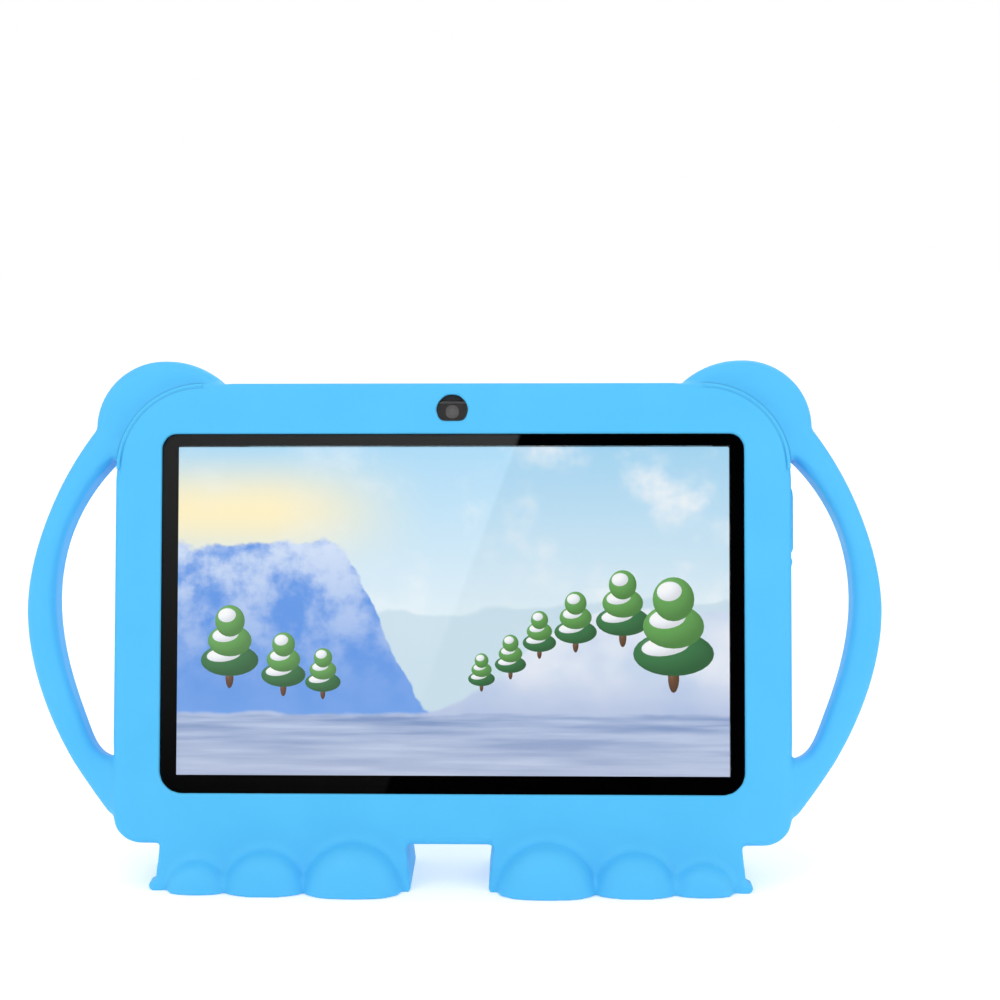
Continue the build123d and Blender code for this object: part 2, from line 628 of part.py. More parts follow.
# ---------------------------------------------------------------- everything, by node name
def tablet_pieces():
    """Every piece of the tablet, in the tablet's own frame."""
    pieces = {
        "touch_glass": touch_glass(), "glass_tape": glass_tape(), "lcd_gasket": lcd_gasket(),
        "front_frame": front_frame(), "rear_cover": rear_cover(),
        "lcd_panel": lcd_panel(), "lcd_backlight": lcd_backlight(),
        "screen_flex": screen_flex_bare(), "screen_connector": screen_connector(),
        "front_camera": front_camera(), "rear_camera": rear_camera(),
        "rear_camera_lens": rear_camera_lens(), "camera_flex": camera_flex(),
        "flash_led": flash_led(), "flash_lens": flash_lens(),
        "speaker": speaker(), "speaker_gasket": speaker_gasket(), "microphone": microphone(),
        "main_board": main_board(), "shield_can": shield_can(), "processor": processor(),
        "memory_chips": memory_chips(), "screws": screws(),
        "battery": battery(), "battery_tape": battery_tape(),
        "battery_leads": battery_leads(), "battery_plug": battery_plug(),
        "speaker_leads": speaker_leads(), "speaker_plug": speaker_plug(),
        "wifi_antenna": wifi_antenna(),
        "headphone_jack": headphone_jack(), "usb_port": usb_port(), "card_slot": card_slot(),
        "switch_housings": switch_housings(),
    }
    for name, (low, high) in KEYS.items():
        pieces[name + "_key"] = key(low, high)
        pieces[name + "_plunger"] = switch_plunger((low + high) / 2)
    return pieces


def main():
    """Writes one STEP file for each node."""
    os.makedirs("parts", exist_ok=True)
    pieces = {name: STAND * shape for name, shape in tablet_pieces().items()}
    pieces["silicone_case"] = silicone_case()
    for name, shape in pieces.items():
        export_step(shape, f"parts/{name}.step")
    whole = Compound(children=list(pieces.values())).bounding_box()
    print("overall", whole.size, "centre", whole.center())


main()
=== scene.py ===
"""Kids' tablet in a silicone bumper case: finished surfaces, screen picture, light and camera."""

import json
import math

import bmesh
import bpy
from mathutils import Matrix, Vector


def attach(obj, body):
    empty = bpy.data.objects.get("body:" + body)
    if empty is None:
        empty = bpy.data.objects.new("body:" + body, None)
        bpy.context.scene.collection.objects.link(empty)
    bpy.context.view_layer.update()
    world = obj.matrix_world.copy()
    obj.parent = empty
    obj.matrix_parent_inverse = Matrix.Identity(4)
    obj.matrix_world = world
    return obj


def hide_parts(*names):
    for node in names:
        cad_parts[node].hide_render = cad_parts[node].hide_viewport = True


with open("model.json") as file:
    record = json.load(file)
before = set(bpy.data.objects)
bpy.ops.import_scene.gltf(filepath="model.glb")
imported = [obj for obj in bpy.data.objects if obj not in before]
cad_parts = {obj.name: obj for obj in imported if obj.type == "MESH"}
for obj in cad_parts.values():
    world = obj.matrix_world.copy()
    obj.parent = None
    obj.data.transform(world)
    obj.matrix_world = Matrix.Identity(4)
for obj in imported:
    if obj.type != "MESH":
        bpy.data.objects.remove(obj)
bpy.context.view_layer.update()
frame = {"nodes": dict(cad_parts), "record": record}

# ---------------------------------------------------------------- sizes, mm unless said otherwise
MM = 0.001
LEAN = math.radians(12.0)
SETBACK = 2.9
ORIGIN_H = 12.7 + 127.7 / 2 * math.cos(LEAN)
STAND = Matrix.Translation((0, -SETBACK * MM, ORIGIN_H * MM)) @ Matrix.Rotation(-LEAN, 4, "X")
TABLET_W, TABLET_H, TABLET_R = 182.0, 122.0, 19.0
GLASS_BACK = 3.0
LCD_FRONT = 3.4
PICTURE_W, PICTURE_H = 153.3, 91.6
PICTURE_X, PICTURE_Z = 0.3, 0.75
CAMERA_X, CAMERA_Z = 0.0, 56.0
REAR_X, REAR_Z = 18.5, 50.0
COVER_BACK = 14.3
RIB_LEFT, RIB_RIGHT, RIB_HALF, RIB_PITCH = 9.6, 15.0, 0.22, 1.75
USB_X, USB_Y, FINGER_HALF, FINGER_PITCH = 44.5, 8.8, 0.14, 0.65
INK_MARGIN = 2.7  # how far inside the tablet's edge the ink starts
MOULD_LINE = 9.1  # depth of the line where the halves of the mould met
EAR_X, EAR_Z, EAR_BEAD_R = 69.65, 39.85, 23.3
EAR_CREASES_AND_SHADE = ((24.1, 0.30, 0.62), (22.55, 0.24, 0.5))  # radius, half width, darkness: the shade painted into the crease, which also sets its bump
FEET_SHIFT = -0.3
TOES = ((26.6, 13.6), (50.8, 11.3), (69.4, 8.4))  # distance from the middle, radius
CASE_VOXEL = 0.6
CASE_TRIANGLES = 180000
AMBIENT = 0.9  # strength of the light from all round
WINDOW_SLOPE, WINDOW_EDGE = 0.3862, -0.1289  # the slanted window that the glass mirrors
VIEW_DISTANCE, VIEW_LENS = 0.6, 78.3  # metres, mm
VIEW_SIDE, VIEW_RISE, VIEW_ROLL = 1.9, 9.4, 0.22  # degrees
VIEW_SHIFT = (0.0486, 0.1124)


# ---------------------------------------------------------------- modelling helpers
def deselect():
    """Leaves nothing selected, in object mode."""
    if bpy.context.object and bpy.context.object.mode != "OBJECT":
        bpy.ops.object.mode_set(mode="OBJECT")
    bpy.ops.object.select_all(action="DESELECT")


def only(obj):
    """Makes one object the selected and active one."""
    deselect()
    obj.select_set(True)
    bpy.context.view_layer.objects.active = obj


def settle(obj):
    """Moves an object's place, turn and size into its mesh."""
    only(obj)
    bpy.ops.object.transform_apply(location=True, rotation=True, scale=True)
    return obj


def lean_back(obj):
    """Takes a finished piece from the tablet's own frame to where the tablet stands."""
    settle(obj)
    obj.matrix_world = STAND
    return settle(obj)


def box(name, x0, x1, y0, y1, z0, z1):
    """A cube primitive brought to the given limits."""
    deselect()
    middle = ((x0 + x1) / 2 * MM, (y0 + y1) / 2 * MM, (z0 + z1) / 2 * MM)
    bpy.ops.mesh.primitive_cube_add(size=1, location=middle)
    obj = bpy.context.object
    obj.name = name
    obj.scale = ((x1 - x0) * MM, (y1 - y0) * MM, (z1 - z0) * MM)
    return settle(obj)


def disc(name, x, z, radius, y0, y1, vertices=48):
    """A cylinder primitive along the depth."""
    deselect()
    bpy.ops.mesh.primitive_cylinder_add(
        vertices=vertices, radius=radius * MM, depth=(y1 - y0) * MM,
        location=(x * MM, (y0 + y1) / 2 * MM, z * MM), rotation=(math.pi / 2, 0, 0),
    )
    obj = bpy.context.object
    obj.name = name
    return settle(obj)


def pick(obj, kind, test):
    """Enters edit mode and selects the elements of one kind that pass a test."""
    only(obj)
    bpy.ops.object.mode_set(mode="EDIT")
    bpy.ops.mesh.select_mode(type=kind)
    bpy.ops.mesh.select_all(action="DESELECT")
    mesh = bmesh.from_edit_mesh(obj.data)
    for element in {"VERT": mesh.verts, "EDGE": mesh.edges, "FACE": mesh.faces}[kind]:
        if test(element):
            element.select_set(True)
    mesh.select_flush_mode()
    bmesh.update_edit_mesh(obj.data)


def done():
    """Leaves edit mode."""
    bpy.ops.object.mode_set(mode="OBJECT")


def round_edges(obj, test, radius, segments):
    """Bevels the edges that pass a test."""
    pick(obj, "EDGE", test)
    bpy.ops.mesh.bevel(
        offset=radius * MM, segments=segments, profile=0.5, affect="EDGES", clamp_overlap=False
    )
    done()


def along(edge, axis):
    """Whether an edge runs along an axis."""
    run = (edge.verts[1].co - edge.verts[0].co).normalized()
    return abs(run[axis]) > 0.99


def plate(name, x, z, width, height, y0, y1, radius, segments=12):
    """A box with its four upright corners rounded in front view."""
    obj = box(name, x - width / 2, x + width / 2, y0, y1, z - height / 2, z + height / 2)
    round_edges(obj, lambda edge: along(edge, 1), radius, segments)
    return obj


def modify(obj, kind, **settings):
    """Adds a modifier, sets it and applies it."""
    only(obj)
    modifier = obj.modifiers.new(kind.title(), kind)
    for key, value in settings.items():
        setattr(modifier, key, value)
    bpy.ops.object.modifier_apply(modifier=modifier.name)


def cut(obj, tool):
    """Takes a tool's shape out of an object."""
    modify(obj, "BOOLEAN", operation="DIFFERENCE", object=tool, solver="EXACT")
    bpy.data.objects.remove(tool, do_unlink=True)


def join(name, *objects):
    """Joins objects into one piece."""
    deselect()
    for obj in objects:
        obj.select_set(True)
    bpy.context.view_layer.objects.active = objects[0]
    bpy.ops.object.join()
    objects[0].name = name
    return objects[0]


def smooth(obj, degrees=35):
    """Smooth shading that breaks at sharp edges."""
    only(obj)
    bpy.ops.object.shade_smooth_by_angle(angle=math.radians(degrees))


def finish_piece(obj, body, material):
    """Gives a piece its material and body."""
    obj.data.materials.clear()
    obj.data.materials.append(material)
    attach(obj, body)


# ---------------------------------------------------------------- materials
def srgb(red, green, blue):
    """A colour on the usual 0 to 255 scale, as a shader colour."""
    def linear(value):
        value /= 255
        return value / 12.92 if value <= 0.04045 else ((value + 0.055) / 1.055) ** 2.4
    return (linear(red), linear(green), linear(blue), 1.0)


class Wiring:
    """Shader nodes in one tree, with short names for what is used here."""

    def __init__(self, tree):
        self.tree = tree
        self.place = None

    def node(self, kind, settings=None, **inputs):
        """Adds a node, with inputs by name (spaces as underscores) as values or sockets."""
        node = self.tree.nodes.new("ShaderNode" + kind)
        for key, value in (settings or {}).items():
            setattr(node, key, value)
        for key, value in inputs.items():
            self.feed(value, node.inputs[key.replace("_", " ")])
        return node

    def feed(self, value, socket):
        """Links a socket or sets a value."""
        if isinstance(value, bpy.types.NodeSocket):
            self.tree.links.new(value, socket)
        else:
            socket.default_value = value

    def coordinates(self):
        """Object coordinates, turned so that Y is the tablet's own depth."""
        if self.place is None:
            source = self.node("TexCoord").outputs["Object"]
            turn = self.node("Mapping", {"vector_type": "TEXTURE"}, Vector=source)
            turn.inputs["Location"].default_value = (0, -SETBACK * MM, ORIGIN_H * MM)
            turn.inputs["Rotation"].default_value = (-LEAN, 0, 0)
            self.place = turn.outputs["Vector"]
        return self.place

    def noise(self, scale, detail=3.0, roughness=0.5, vector=None):
        """A noise pattern."""
        return self.node(
            "TexNoise", Vector=vector or self.coordinates(), Scale=scale, Detail=detail,
            Roughness=roughness,
        ).outputs["Fac"]

    def spread(self, value, low, high, low_out=0.0, high_out=1.0, kind="LINEAR"):
        """Maps a range of values to another range."""
        settings = {"interpolation_type": kind, "clamp": True}
        node = self.node("MapRange", settings, Value=value)
        for name, number in (
            ("From Min", low), ("From Max", high), ("To Min", low_out), ("To Max", high_out)
        ):
            node.inputs[name].default_value = number
        return node.outputs["Result"]

    def sum(self, operation, first, second=0.0, third=None):
        """Arithmetic on values."""
        node = self.node("Math", {"operation": operation})
        self.feed(first, node.inputs[0])
        self.feed(second, node.inputs[1])
        if third is not None:
            self.feed(third, node.inputs[2])
        return node.outputs["Value"]

    def blend(self, factor, first, second, mode="MIX"):
        """A mix of two colours."""
        node = self.node("Mix", {"data_type": "RGBA", "blend_type": mode})
        self.feed(factor, node.inputs[0])
        self.feed(first, node.inputs[6])
        self.feed(second, node.inputs[7])
        return node.outputs[2]

    def axis(self, index, vector=None):
        """One coordinate."""
        return self.node("SeparateXYZ", Vector=vector or self.coordinates()).outputs[index]


class Paint(Wiring):
    """A node material."""

    def __init__(self, name, color=(0.8, 0.8, 0.8, 1), **sockets):
        self.material = bpy.data.materials.new(name)
        self.material.use_nodes = True
        super().__init__(self.material.node_tree)
        self.surface = self.tree.nodes["Principled BSDF"]
        self.surface.inputs["Base Color"].default_value = color
        for key, value in sockets.items():
            socket = key.replace("_", " ").title().replace("Ior", "IOR")
            self.surface.inputs[socket].default_value = value

    def colour(self, first, second, scale, low=0.35, high=0.65, detail=3.0):
        """Colour that wanders between two tones."""
        tone = self.blend(self.spread(self.noise(scale, detail), low, high), first, second)
        self.feed(tone, self.surface.inputs["Base Color"])
        return self

    def rough(self, low, high, scale, detail=3.0):
        """Roughness that wanders between two values."""
        value = self.spread(self.noise(scale, detail), 0.3, 0.7, low, high)
        self.feed(value, self.surface.inputs["Roughness"])
        return self

    def bump(self, height, distance, strength=1.0):
        """Relief from a height pattern; bumps given later lie over the earlier ones."""
        node = self.node("Bump", Height=height, Distance=distance, Strength=strength)
        old = self.surface.inputs["Normal"].links
        if old:
            self.tree.links.new(old[0].from_socket, node.inputs["Normal"])
        self.tree.links.new(node.outputs["Normal"], self.surface.inputs["Normal"])
        return self


def ear_creases_and_painted_shade(paint):
    """Two fine creases that run round each top corner of the case, beside the ear's bead: the mask for
    their bump and for the shade painted into them.
    """
    across = paint.sum("SUBTRACT", paint.sum("ABSOLUTE", paint.axis(0)), EAR_X * MM)
    up = paint.sum("SUBTRACT", paint.axis(2), EAR_Z * MM)
    reach = paint.sum("SQRT", paint.sum(
        "ADD", paint.sum("MULTIPLY", across, across), paint.sum("MULTIPLY", up, up)
    ))
    lines = 0.0
    # each crease's darkness is the shade painted into it, and also scales its bump
    for radius, half_width, depth in EAR_CREASES_AND_SHADE:
        gap = paint.sum("ABSOLUTE", paint.sum("SUBTRACT", reach, radius * MM))
        line = paint.spread(gap, 0.35 * half_width * MM, half_width * MM, depth, 0.0, "SMOOTHSTEP")
        lines = paint.sum("MAXIMUM", line, lines)
    for side in (across, up):
        lines = paint.sum("MULTIPLY", lines, paint.spread(side, -2.0 * MM, 1.0 * MM))
    return paint.sum("MULTIPLY", lines, paint.spread(paint.axis(1), 3.2 * MM, 4.4 * MM, 1.0, 0.0))


def silicone_paint():
    """Soft matte silicone with a fine moulded grain, faint mottling, a mould line round its edge and
    shade painted into the creases beside each ear's bead.
    """
    paint = Paint(
        "silicone", roughness=0.55, subsurface_weight=0.12, subsurface_scale=0.004, ior=1.43,
        specular_ior_level=0.4,
    )
    paint.surface.inputs["Subsurface Radius"].default_value = (0.35, 0.7, 1.0)
    paint.colour(srgb(76, 184, 238), srgb(81, 188, 242), 38.0, 0.3, 0.7, 4.0)
    paint.rough(0.50, 0.64, 90.0)
    fine = paint.noise(2600.0, 2.0)
    paint.bump(fine, 0.00004, 0.5)
    crease_and_painted_shade = ear_creases_and_painted_shade(paint)
    tone = paint.surface.inputs["Base Color"].links[0].from_socket
    # painted shade: the colour darkens along the creases beside each ear's bead, as well as their bump
    shaded = paint.blend(crease_and_painted_shade, tone, srgb(44, 138, 196))
    paint.feed(shaded, paint.surface.inputs["Base Color"])
    paint.bump(crease_and_painted_shade, -0.00012, 0.6)
    line = paint.sum("ABSOLUTE", paint.sum("SUBTRACT", paint.axis(1), MOULD_LINE * MM))
    paint.bump(paint.spread(line, 0.0, 0.00018, 1.0, 0.0, "SMOOTHSTEP"), 0.00008, 0.5)
    return paint.material


def plastic(name, dark, light, low, high, grain=1500.0, depth=0.00003):
    """Moulded plastic with a fine spark-eroded texture."""
    paint = Paint(name).colour(dark, light, 120.0).rough(low, high, 260.0)
    return paint.bump(paint.noise(grain, 4.0), depth, 0.6).material


def metal(name, dark, light, low, high, scale=300.0):
    """Plated or pressed metal with faint handling marks."""
    paint = Paint(name, metallic=1.0).colour(dark, light, 160.0).rough(low, high, scale, 5.0)
    return paint.bump(paint.noise(900.0, 5.0), 0.00001, 0.4).material


def glass_paint(name, tint, low, high):
    """Clear glass with the faintest smears."""
    paint = Paint(name, tint, transmission_weight=1.0, ior=1.5)
    return paint.rough(low, high, 45.0, 6.0).material


def board_paint():
    """Green solder mask over copper tracks."""
    paint = Paint("board_green", roughness=0.3, coat_weight=0.4, coat_roughness=0.2)
    settings = {"feature": "DISTANCE_TO_EDGE"}
    cells = paint.node("TexVoronoi", settings, Vector=paint.coordinates(), Scale=420.0)
    tracks = paint.spread(cells.outputs["Distance"], 0.02, 0.05)
    tone = paint.blend(tracks, srgb(30, 118, 66), srgb(8, 74, 40))
    paint.feed(tone, paint.surface.inputs["Base Color"])
    return paint.bump(tracks, 0.00003, 0.5).material


def make_materials():
    """Every material slot's finish."""
    black, soot = srgb(14, 14, 15), srgb(24, 24, 26)
    finishes = {
        "silicone": silicone_paint(),
        "cover_glass": glass_paint("cover_glass", (1, 1, 1, 1), 0.0, 0.006),
        "lens_glass": glass_paint("lens_glass", (0.75, 0.8, 1.0, 1), 0.0, 0.02),
        "foam_tape": plastic(
            "foam_tape", srgb(18, 18, 18), srgb(34, 34, 34), 0.8, 0.95, 2500.0, 0.00008
        ),
        "black_plastic": plastic("black_plastic", black, soot, 0.42, 0.58),
        "screen": plastic("screen", srgb(16, 17, 20), srgb(22, 23, 27), 0.15, 0.25, 3000.0, 0.000004),
        "tray_metal": metal("tray_metal", srgb(168, 168, 170), srgb(196, 196, 198), 0.25, 0.42),
        "flex_film": plastic("flex_film", srgb(176, 108, 32), srgb(204, 132, 46), 0.2, 0.4, 600.0),
        "connector_plastic": plastic(
            "connector_plastic", srgb(222, 216, 196), srgb(236, 231, 214), 0.4, 0.55
        ),
        "camera_body": plastic("camera_body", srgb(12, 12, 14), srgb(20, 20, 23), 0.2, 0.36),
        "flash_chip": plastic("flash_chip", srgb(232, 208, 60), srgb(246, 228, 96), 0.5, 0.7),
        "flash_window": plastic("flash_window", srgb(214, 214, 156), srgb(232, 230, 180), 0.14, 0.26),
        "tin_plate": metal("tin_plate", srgb(176, 176, 172), srgb(206, 206, 202), 0.2, 0.38),
        "board_green": board_paint(),
        "chip_black": plastic("chip_black", srgb(22, 22, 25), srgb(32, 32, 36), 0.45, 0.6),
        "screw_steel": metal("screw_steel", srgb(150, 150, 154), srgb(182, 182, 186), 0.25, 0.45),
        "battery_foil": metal("battery_foil", srgb(186, 188, 192), srgb(212, 214, 218), 0.3, 0.5, 120.0),
        "lead_red": plastic("lead_red", srgb(176, 24, 20), srgb(204, 36, 30), 0.3, 0.45),
        "lead_black": plastic("lead_black", srgb(16, 16, 16), srgb(28, 28, 28), 0.3, 0.45),
        "socket_black": plastic("socket_black", srgb(20, 20, 21), srgb(30, 30, 32), 0.25, 0.4),
        "key_plastic": plastic("key_plastic", srgb(18, 18, 20), srgb(28, 28, 31), 0.18, 0.3),
        "plunger_plastic": plastic("plunger_plastic", srgb(190, 40, 28), srgb(210, 58, 40), 0.4, 0.55),
    }
    slots = {entry["node"]: entry["material_slot"] for entry in frame["record"]["subparts"]}
    for node, obj in frame["nodes"].items():
        obj.data.materials.clear()
        obj.data.materials.append(finishes[slots[node]])
    return finishes


# ---------------------------------------------------------------- silicone case
def relax(obj, spots, steps):
    """Melts the surface together round each spot, given as (x, depth, height, radius) in mm."""
    group = obj.vertex_groups.new(name="Soft")
    for x, y, z, radius in spots:
        centre, reach = Vector((x, y, z)) * MM, radius * MM
        for vertex in obj.data.vertices:
            gap = (vertex.co - centre).length / reach
            if gap < 1.0:
                weight = min(1.0, 2.0 * (1.0 - gap))
                group.add([vertex.index], weight, "ADD")
    modify(obj, "SMOOTH", factor=0.5, iterations=steps, vertex_group="Soft")
    obj.vertex_groups.clear()


def soften_toes(obj):
    """Melts the tops of the toes into the front of the foot, leaving the soles flat."""
    front = -(SETBACK + math.tan(LEAN) * ORIGIN_H)
    group = obj.vertex_groups.new(name="Toes")
    for vertex in obj.data.vertices:
        x, y, z = (STAND @ vertex.co) / MM
        if z > 19.0 or y > front + 5.0:
            continue
        weight = 0.0
        for centre, radius in TOES:
            gap = abs(math.hypot(abs(x - FEET_SHIFT) - centre, z) - radius)
            weight = max(weight, 1.15 - gap / 3.2)
        weight = min(weight, 1.0, (z - 1.6) / 2.0)
        if weight > 0.0:
            group.add([vertex.index], weight, "REPLACE")
    modify(obj, "SMOOTH", factor=0.5, iterations=70, vertex_group="Toes")
    obj.vertex_groups.clear()


def silicone_case(material):
    """The moulded case: the solid's own shape, with soft edges, melted joints and tucked toes."""
    deselect()
    source = frame["nodes"]["silicone_case"]
    source.select_set(True)
    bpy.context.view_layer.objects.active = source
    bpy.ops.object.duplicate()
    obj = bpy.context.object
    obj.name = "bumper_case"
    obj.parent = None
    only(obj)
    bpy.ops.object.mode_set(mode="EDIT")
    bpy.ops.mesh.select_all(action="SELECT")
    bpy.ops.mesh.remove_doubles(threshold=0.000002)
    done()
    obj.matrix_world = STAND.inverted()
    settle(obj)
    modify(obj, "REMESH", mode="VOXEL", voxel_size=CASE_VOXEL * MM, adaptivity=0.0)
    spots = []
    for side in (-1, 1):
        spots.append((side * 95.5, 2.0, -48.0, 12.0))
        spots.append((side * 94.5, 2.0, 43.0, 6.0))
        spots.append((side * 66.0, 2.0, 62.0, 5.0))
    relax(obj, spots, 60)
    soften_toes(obj)
    modify(obj, "SMOOTH", factor=0.5, iterations=3)
    faces = 2 * len(obj.data.polygons)
    modify(obj, "DECIMATE", decimate_type="COLLAPSE", ratio=min(1.0, CASE_TRIANGLES / faces))
    lean_back(obj)
    smooth(obj, 60)
    finish_piece(obj, "tablet", material)
    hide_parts("silicone_case")


def ear_beads(material):
    """The fine raised bead round each top corner of the case, where the ear starts."""
    parts = []
    for side in (-1, 1):
        deselect()
        bpy.ops.mesh.primitive_torus_add(
            location=(side * EAR_X * MM, 0.5 * MM, EAR_Z * MM), rotation=(math.pi / 2, 0, 0),
            major_radius=EAR_BEAD_R * MM, minor_radius=0.5 * MM, major_segments=144, minor_segments=12,
        )
        obj = settle(bpy.context.object)
        only(obj)
        bpy.ops.object.mode_set(mode="EDIT")
        for point, out in (((side * EAR_X, 0, 0), (-side, 0, 0)), ((0, 0, EAR_Z), (0, 0, -1))):
            bpy.ops.mesh.select_all(action="SELECT")
            bpy.ops.mesh.bisect(
                plane_co=[part * MM for part in point], plane_no=out, clear_outer=True, use_fill=True
            )
        done()
        parts.append(obj)
    obj = join("ear_beads", *parts)
    lean_back(obj)
    smooth(obj, 50)
    finish_piece(obj, "tablet", material)


# ---------------------------------------------------------------- behind the glass
def ink_border():
    """The black ink round the picture on the back of the glass, with a clear spot for the camera."""
    obj = plate(
        "glass_ink", 0, 0, TABLET_W - 2 * INK_MARGIN, TABLET_H - 2 * INK_MARGIN, 
        GLASS_BACK - 0.02, GLASS_BACK + 0.03, TABLET_R - INK_MARGIN,
    )
    cut(obj, box(
        "picture_cutter", PICTURE_X - PICTURE_W / 2, PICTURE_X + PICTURE_W / 2, GLASS_BACK - 1,
        GLASS_BACK + 1, PICTURE_Z - PICTURE_H / 2, PICTURE_Z + PICTURE_H / 2,
    ))
    cut(obj, disc("camera_cutter", CAMERA_X, CAMERA_Z, 1.9, GLASS_BACK - 1, GLASS_BACK + 1))
    lean_back(obj)
    ink = Paint("glass_ink", specular_ior_level=0.0).colour(srgb(2, 2, 3), srgb(4, 4, 5), 90.0)
    finish_piece(obj, "tablet", ink.rough(0.5, 0.6, 200.0).material)


def lathe(name, x, z, points, segments=48):
    """A turned shape about a line along the depth: a profile of (radius, depth) points is spun round."""
    deselect()
    bpy.ops.mesh.primitive_plane_add(size=MM)
    obj = bpy.context.object
    obj.name = name
    bpy.ops.object.mode_set(mode="EDIT")
    bpy.ops.mesh.select_all(action="SELECT")
    bpy.ops.mesh.delete(type="VERT")
    mesh = bmesh.from_edit_mesh(obj.data)
    verts = [mesh.verts.new(((x + radius) * MM, depth * MM, z * MM)) for radius, depth in points]
    for first, second in zip(verts, verts[1:]):
        mesh.edges.new((first, second))
    bmesh.update_edit_mesh(obj.data)
    bpy.ops.mesh.select_all(action="SELECT")
    bpy.ops.mesh.spin(
        steps=segments, angle=math.tau, center=(x * MM, 0, z * MM), axis=(0, 1, 0), use_auto_merge=True
    )
    bpy.ops.mesh.select_all(action="SELECT")
    bpy.ops.mesh.remove_doubles(threshold=0.00001)
    bpy.ops.mesh.normals_make_consistent(inside=False)
    done()
    return obj


def camera_lens(name, x, z, face, towards, scale, deep, glass_material):
    """A ringed lens: stepped dark barrel with a domed lens in it, face outwards along the depth."""
    d = -towards
    barrel = plastic(name + "_barrel", srgb(58, 50, 48), srgb(76, 66, 63), 0.3, 0.45, 2600.0, 0.00001)
    ring = lathe(name + "_ring", x, z, [
        (0.0, face + d * deep), (2.35 * scale, face + d * deep), (2.35 * scale, face),
        (2.0 * scale, face),
        (1.9 * scale, face + d * 0.12), (1.45 * scale, face + d * 0.14),
        (1.35 * scale, face + d * 0.22), (0.95 * scale, face + d * 0.24),
        (0.9 * scale, face + d * 0.9 * deep), (0.0, face + d * 0.9 * deep),
    ])
    smooth(ring, 30)
    dome = lathe(name + "_dome", x, z, [
        (0.0, face + d * 0.10), (0.35 * scale, face + d * 0.12), (0.7 * scale, face + d * 0.19),
        (0.9 * scale, face + d * 0.27), (0.0, face + d * 0.27),
    ])
    smooth(dome, 40)
    for obj, slot, material in (
        (ring, "camera_body", barrel), (dome, "lens_glass", glass_material)
    ):
        lean_back(obj)
        finish_piece(obj, "tablet", material)
    return ring


# ---------------------------------------------------------------- the picture on the screen
def winter_paint():
    """A plain winter scene: sky and clouds, a peak at the left, a bank at the right, a frozen lake."""
    paint = Paint("winter_scene")
    paint.place = paint.node("TexCoord").outputs["UV"]
    across, up = paint.sum("SUBTRACT", 1.0, paint.axis(0)), paint.axis(1)
    wide = paint.node("Mapping", Vector=paint.place)
    wide.inputs["Scale"].default_value = (1.67, 1.0, 1.0)
    wide = wide.outputs["Vector"]

    def soft(scale, detail=4.0, roughness=0.5):
        return paint.noise(scale, detail, roughness, wide)

    sky = paint.blend(paint.spread(up, 0.45, 1.0), srgb(228, 243, 250), srgb(164, 216, 246))
    side = paint.spread(across, 0.52, 0.85, 0, 1, "SMOOTHSTEP")
    height = paint.sum("ABSOLUTE", paint.sum("SUBTRACT", up, 0.80))
    warm = paint.sum("MULTIPLY", side, paint.spread(height, 0.0, 0.22, 1, 0, "SMOOTHSTEP"))
    sky = paint.blend(warm, sky, srgb(255, 242, 196))
    clouds = paint.spread(soft(3.2, 6.0, 0.6), 0.48, 0.72, 0, 0.95, "SMOOTHSTEP")
    clouds = paint.sum("MULTIPLY", clouds, paint.spread(across, 0.15, 0.75, 1.0, 0.25))
    sky = paint.blend(clouds, sky, srgb(250, 252, 254))

    def ridge(low, high, start, stop, rough, scale):
        rise = paint.spread(across, start, stop, low, high, "SMOOTHSTEP")
        line = paint.sum("MULTIPLY_ADD", paint.sum("SUBTRACT", soft(scale, 5.0), 0.5), rough, rise)
        return paint.spread(paint.sum("SUBTRACT", line, up), -0.004, 0.012, 0, 1, "SMOOTHSTEP")

    far = ridge(0.54, 0.50, 0.0, 0.5, 0.10, 5.0)
    scene = paint.blend(paint.sum("MULTIPLY", far, 0.75), sky, srgb(196, 222, 236))
    peak = ridge(0.16, 0.70, 0.50, 0.74, 0.16, 6.5)
    faces = paint.spread(soft(7.0, 7.0, 0.6), 0.36, 0.62, 0, 1, "SMOOTHSTEP")
    lit = paint.spread(up, 0.25, 0.75, 0.1, 1.0)
    snow = paint.blend(paint.sum("MULTIPLY", faces, lit), srgb(92, 150, 232), srgb(218, 232, 252))
    snow = paint.blend(paint.spread(up, 0.17, 0.40, 0.7, 0.0), snow, srgb(120, 168, 238))
    scene = paint.blend(peak, scene, snow)
    bank = ridge(0.50, 0.19, 0.22, 0.56, 0.07, 4.0)
    drift = paint.spread(soft(5.0, 5.0), 0.35, 0.65)
    drift = paint.blend(drift, srgb(204, 220, 242), srgb(238, 243, 252))
    drift = paint.blend(paint.spread(up, 0.2, 0.32, 0.65, 0.0), drift, srgb(168, 186, 226))
    scene = paint.blend(bank, scene, drift)
    streaks = paint.node("Mapping", Vector=paint.place)
    streaks.inputs["Scale"].default_value = (1.5, 16.0, 1.0)
    glaze = paint.spread(paint.noise(2.4, 4.0, 0.5, streaks.outputs["Vector"]), 0.35, 0.65)
    ice = paint.blend(glaze, srgb(124, 150, 198), srgb(186, 202, 232))
    ice = paint.blend(paint.spread(up, 0.0, 0.19, 0.55, 0.0), ice, srgb(206, 214, 234))
    shore = paint.sum("MULTIPLY_ADD", paint.sum("SUBTRACT", soft(9.0), 0.5), 0.03, 0.185)
    lake = paint.spread(paint.sum("SUBTRACT", shore, up), -0.006, 0.012, 0, 1, "SMOOTHSTEP")
    scene = paint.blend(lake, scene, ice)
    paint.feed((0, 0, 0, 1), paint.surface.inputs["Base Color"])
    paint.feed(scene, paint.surface.inputs["Emission Color"])
    paint.feed(1.0, paint.surface.inputs["Emission Strength"])
    paint.feed(0.4, paint.surface.inputs["Roughness"])
    return paint.material


